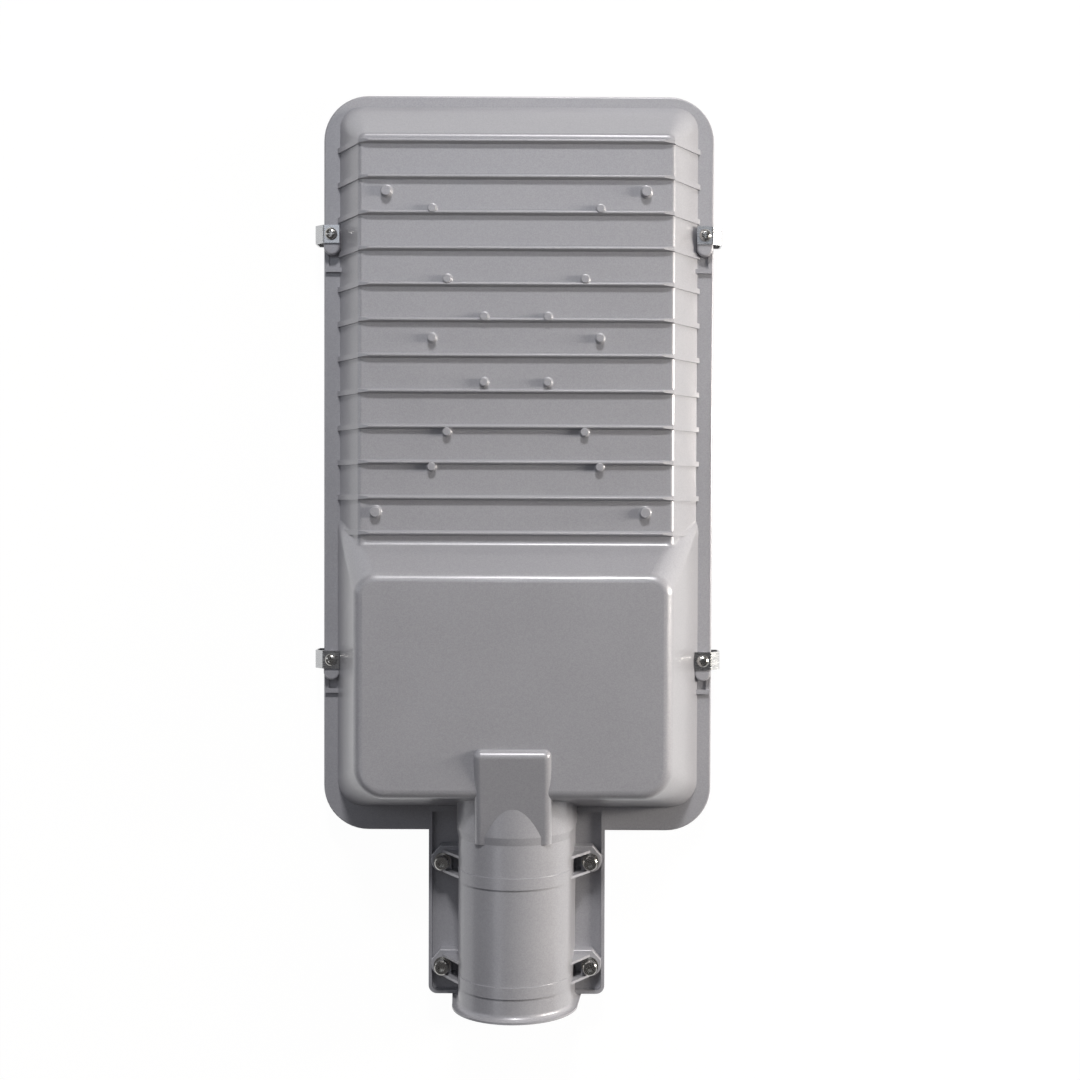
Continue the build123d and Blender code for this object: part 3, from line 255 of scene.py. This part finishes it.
# LED packages. White 5 mm packages, soldered to the board in 6 columns of 8, with a round yellow
# phosphor window in the middle of each.
row_pitch = 0.0186
board_middle_y = 0.3885
window_radius = 0.0019
window_edge_half = 0.0001
phosphor, tree, shader = new_material("led_phosphor")
place = add(tree, "ShaderNodeTexCoord").outputs["Object"]
parts_of = add(tree, "ShaderNodeSeparateXYZ", {"Vector": place})
from_middle = add(tree, "ShaderNodeMath", {
    0: parts_of.outputs["Y"], 1: board_middle_y}, operation="SUBTRACT")
offsets = []
for position, pitch in (
        (parts_of.outputs["X"], column_pitch), (from_middle.outputs["Value"], row_pitch)):
    folded = add(tree, "ShaderNodeMath", {0: position, 1: pitch / 2}, operation="PINGPONG")
    from_led = add(tree, "ShaderNodeMath", {
        0: pitch / 2, 1: folded.outputs["Value"]}, operation="SUBTRACT")
    offsets.append(from_led.outputs["Value"])
offset = add(tree, "ShaderNodeCombineXYZ", {"X": offsets[0], "Y": offsets[1]})
reach = add(tree, "ShaderNodeVectorMath", {0: offset.outputs["Vector"]}, operation="LENGTH")
window = add(tree, "ShaderNodeMapRange", {
    "Value": reach.outputs["Value"],
    "From Min": window_radius - window_edge_half, "From Max": window_radius + window_edge_half,
    "To Min": 1.0, "To Max": 0.0})
tone = add(tree, "ShaderNodeMix", {
    "Factor": window.outputs["Result"], "A": linear("#EDECE8"), "B": linear("#E8C64A")}, data_type="RGBA")
fill(tree, shader, {"Base Color": tone.outputs["Result"], "Roughness": 0.45})
dress(phosphor, "led_packages")


# Lens plate. Clear moulded polycarbonate, one dome over each LED. The board screws hold it and
# the board up against the casting.
lens, tree, shader = new_material("clear_polycarbonate")
fill(tree, shader, {
    "Base Color": linear("#F7F9FA"), "Roughness": 0.04, "IOR": 1.58, "Transmission Weight": 1.0})
let_light_through(tree, shader, clear_share=0.85)
dress(lens, "lens_plate")


# Connector and terminal block. White moulded nylon, slightly warm, with the fine skin of the
# mould, which is drawn coarser than it is.
nylon_skin_size = 0.0007
nylon_skin_depth = 0.00002
nylon, tree, shader = new_material("white_nylon")
place = add(tree, "ShaderNodeTexCoord").outputs["Object"]
skin = add(tree, "ShaderNodeTexNoise", {"Vector": place, "Scale": 1 / nylon_skin_size, "Detail": 2.0})
bump = add(tree, "ShaderNodeBump", {
    "Height": skin.outputs["Fac"], "Distance": nylon_skin_depth, "Strength": 0.4})
fill(tree, shader, {
    "Base Color": linear("#E4E2DB"), "Roughness": 0.48, "Normal": bump.outputs["Normal"]})
dress(nylon, "board_connector", "terminal_block")


# Reflector liner. 0.8 mm formed sheet with a satin white coat that throws stray light back down.
# The coat has a faint orange peel.
liner_peel_size = 0.0025
liner_peel_depth = 0.00003
liner, tree, shader = new_material("white_coated_sheet")
place = add(tree, "ShaderNodeTexCoord").outputs["Object"]
peel = add(tree, "ShaderNodeTexNoise", {"Vector": place, "Scale": 1 / liner_peel_size, "Detail": 2.0})
bump = add(tree, "ShaderNodeBump", {
    "Height": peel.outputs["Fac"], "Distance": liner_peel_depth, "Strength": 0.5})
fill(tree, shader, {
    "Base Color": linear("#ECECEA"), "Roughness": 0.3, "Normal": bump.outputs["Normal"]})
dress(liner, "reflector_liner")


# Driver case and cover. Plain aluminium: the case is extruded, the cover is cut from rolled sheet.
# Both show the long lines of the mill, which run across the head and are drawn coarser here.
line_width = 0.0004
line_depth = 0.000012
line_stretch = 0.02
mill, tree, shader = new_material("mill_finish_aluminium")
place = add(tree, "ShaderNodeTexCoord").outputs["Object"]
stretched = add(tree, "ShaderNodeMapping", {"Vector": place, "Scale": (line_stretch, 1.0, 1.0)})
lines = add(tree, "ShaderNodeTexNoise", {
    "Vector": stretched.outputs["Vector"], "Scale": 1 / line_width, "Detail": 3.0})
tone = add(tree, "ShaderNodeMix", {
    "Factor": lines.outputs["Fac"], "A": linear("#BDBEBF"), "B": linear("#D2D3D3")}, data_type="RGBA")
gloss = add(tree, "ShaderNodeMapRange", {
    "Value": lines.outputs["Fac"],
    "From Min": noise_low, "From Max": noise_high, "To Min": 0.3, "To Max": 0.44})
bump = add(tree, "ShaderNodeBump", {
    "Height": lines.outputs["Fac"], "Distance": line_depth, "Strength": 0.6})
fill(tree, shader, {
    "Base Color": tone.outputs["Result"], "Metallic": 1.0, "Roughness": gloss.outputs["Result"],
    "Normal": bump.outputs["Normal"]})
dress(mill, "led_driver", "driver_cover")


# Leads. Stranded copper in a smooth silicone sheath. The two output leads are red over black, and
# the three input leads are brown, blue and green from the lowest up.
def lead_sheath(name, colours, steps, height_of):
    """Sheath with one colour below each step of height and the next colour above it."""
    sheath, tree, shader = new_material(name)
    place = add(tree, "ShaderNodeTexCoord").outputs["Object"]
    height = height_of(tree, add(tree, "ShaderNodeSeparateXYZ", {"Vector": place}))
    tone = linear(colours[0])
    for colour, step in zip(colours[1:], steps):
        above = add(tree, "ShaderNodeMath", {0: height, 1: step}, operation="GREATER_THAN")
        mixed = add(tree, "ShaderNodeMix", {
            "Factor": above.outputs["Value"], "A": tone, "B": linear(colour)}, data_type="RGBA")
        tone = mixed.outputs["Result"]
    fill(tree, shader, {"Base Color": tone, "Roughness": 0.42})
    return sheath


def over_the_route(tree, parts_of):
    """Height over the middle of the two output leads. Their common route falls and rises along Y,
    and past the partition they spread sideways, so the distance to the right counts too."""
    height = parts_of.outputs["Z"]
    for back, front, rise in route_rises:
        route = add(tree, "ShaderNodeMapRange", {
            "Value": parts_of.outputs["Y"],
            "From Min": back, "From Max": front, "To Min": 0.0, "To Max": rise})
        lowered = add(tree, "ShaderNodeMath", {
            0: height, 1: route.outputs["Result"]}, operation="SUBTRACT")
        height = lowered.outputs["Value"]
    sideways = add(tree, "ShaderNodeMath", {0: parts_of.outputs["X"], 1: route_x}, operation="SUBTRACT")
    past_wall = add(tree, "ShaderNodeMath", {
        0: parts_of.outputs["Y"], 1: partition_y}, operation="GREATER_THAN")
    counted = add(tree, "ShaderNodeMath", {
        0: sideways.outputs["Value"], 1: past_wall.outputs["Value"]}, operation="MULTIPLY")
    total = add(tree, "ShaderNodeMath", {0: height, 1: counted.outputs["Value"]}, operation="ADD")
    return total.outputs["Value"]


def over_the_axis(tree, parts_of):
    """Height over the axis of the pole socket."""
    return parts_of.outputs["Z"]


# Each row is a stretch of the output leads' route: from where to where along Y, and its rise.
route_rises = (
    (0.208, 0.217, -0.002),
    (0.217, 0.233, -0.006),
    (0.233, 0.253, -0.006),
    (0.253, 0.258, -0.002),
    (0.2846, 0.2970, 0.00715))
route_x = -0.030
partition_y = 0.262
lead_level = 0.012
lead_spacing_half = 0.0016
dress(lead_sheath(
    "red_and_black_sheath", ("#1B1B1C", "#B3231C"), (lead_level,), over_the_route), "output_leads")
dress(lead_sheath(
    "brown_blue_green_sheath", ("#5A3A24", "#2A5DA8", "#4C9A3B"),
    (lead_level - lead_spacing_half, lead_level + lead_spacing_half), over_the_axis), "input_leads")


# Floor. White paper under the head, a square about its middle. The camera, mirrors and clear
# pieces see it almost white, and the rest of it is matt paper that holds the head's shadow.
floor_half = 4.0
floor_middle_y = 0.3
floor_gap = 0.0005
paper_white = 1.04
white_share = 0.94
corners = np.array([(-1, -1), (1, -1), (1, 1), (-1, 1)]) * floor_half
points = np.column_stack([corners, np.zeros(4)]) + (0.0, floor_middle_y, cad_low[2] - floor_gap)
floor_mesh = bpy.data.meshes.new("floor")
floor_mesh.from_pydata(points.tolist(), [], [(0, 1, 2, 3)])
floor = bpy.data.objects.new("floor", floor_mesh)
bpy.context.collection.objects.link(floor)
paper, tree, shader = new_material("white_paper")
fill(tree, shader, {"Base Color": linear("#B9B4B0"), "Roughness": 0.8})
glow = add(tree, "ShaderNodeEmission", {"Color": (1, 1, 1, 1), "Strength": paper_white})
rays = add(tree, "ShaderNodeLightPath")
straight = add(tree, "ShaderNodeMath", {
    0: rays.outputs["Is Camera Ray"], 1: rays.outputs["Is Glossy Ray"]}, operation="MAXIMUM")
through = add(tree, "ShaderNodeMath", {
    0: straight.outputs["Value"], 1: rays.outputs["Is Transmission Ray"]}, operation="MAXIMUM")
seen = add(tree, "ShaderNodeMath", {0: through.outputs["Value"], 1: white_share}, operation="MULTIPLY")
show_instead(tree, shader, seen.outputs["Value"], glow.outputs["Emission"])
floor.data.materials.append(paper)


# Light. A dim room. The main lamp stands far off past the tip and throws the short shadows behind
# fins and box. A low warm lamp on the right lights the walls on that side. The three others are
# weak, and only open up the shadows.
room_colour = (0.90, 0.87, 0.88, 1.0)
room_strength = 0.10
world = bpy.data.worlds.new("studio")
world.use_nodes = True
bpy.context.scene.world = world
fill(world.node_tree, world.node_tree.nodes["Background"], {
    "Color": room_colour, "Strength": room_strength})


def soft_light(name, place_xyz, aim, width, height, power, colour):
    """Rectangular lamp at a point, turned so that it faces its aim: the yaw is the angle of the
    direction in the XY plane, and the pitch is its angle from straight down."""
    data = bpy.data.lights.new(name, "AREA")
    data.shape = "RECTANGLE"
    data.size = width
    data.size_y = height
    data.energy = power
    data.color = colour
    lamp = bpy.data.objects.new(name, data)
    lamp.location = place_xyz
    direction = np.array(aim) - np.array(place_xyz)
    yaw = math.atan2(direction[1], direction[0])
    pitch = math.acos(-direction[2] / np.linalg.norm(direction))
    lamp.rotation_euler = (pitch, 0.0, yaw - math.pi / 2)
    bpy.context.collection.objects.link(lamp)


soft_light(
    "tip_light", place_xyz=(0.15, 2.70, 2.05), aim=(0.0, 0.3, 0.0),
    width=0.5, height=0.4, power=72.0, colour=(1.0, 0.985, 0.975))
soft_light(
    "tip_sheen", place_xyz=(-0.15, 0.95, 1.75), aim=(0.0, 0.4, 0.0),
    width=0.9, height=0.5, power=2.0, colour=(0.86, 0.91, 1.0))
soft_light(
    "right_light", place_xyz=(1.30, 0.42, 0.30), aim=(0.0, 0.27, 0.0),
    width=0.22, height=1.0, power=29.0, colour=(1.0, 0.94, 0.85))
soft_light(
    "left_light", place_xyz=(-1.3, 0.5, 0.6), aim=(0.0, 0.27, 0.0),
    width=0.3, height=1.0, power=1.8, colour=(0.93, 0.96, 1.0))
soft_light(
    "rear_light", place_xyz=(-0.75, -0.30, 1.2), aim=(0.0, 0.05, 0.0),
    width=0.4, height=0.4, power=0.7, colour=(0.95, 0.96, 1.0))
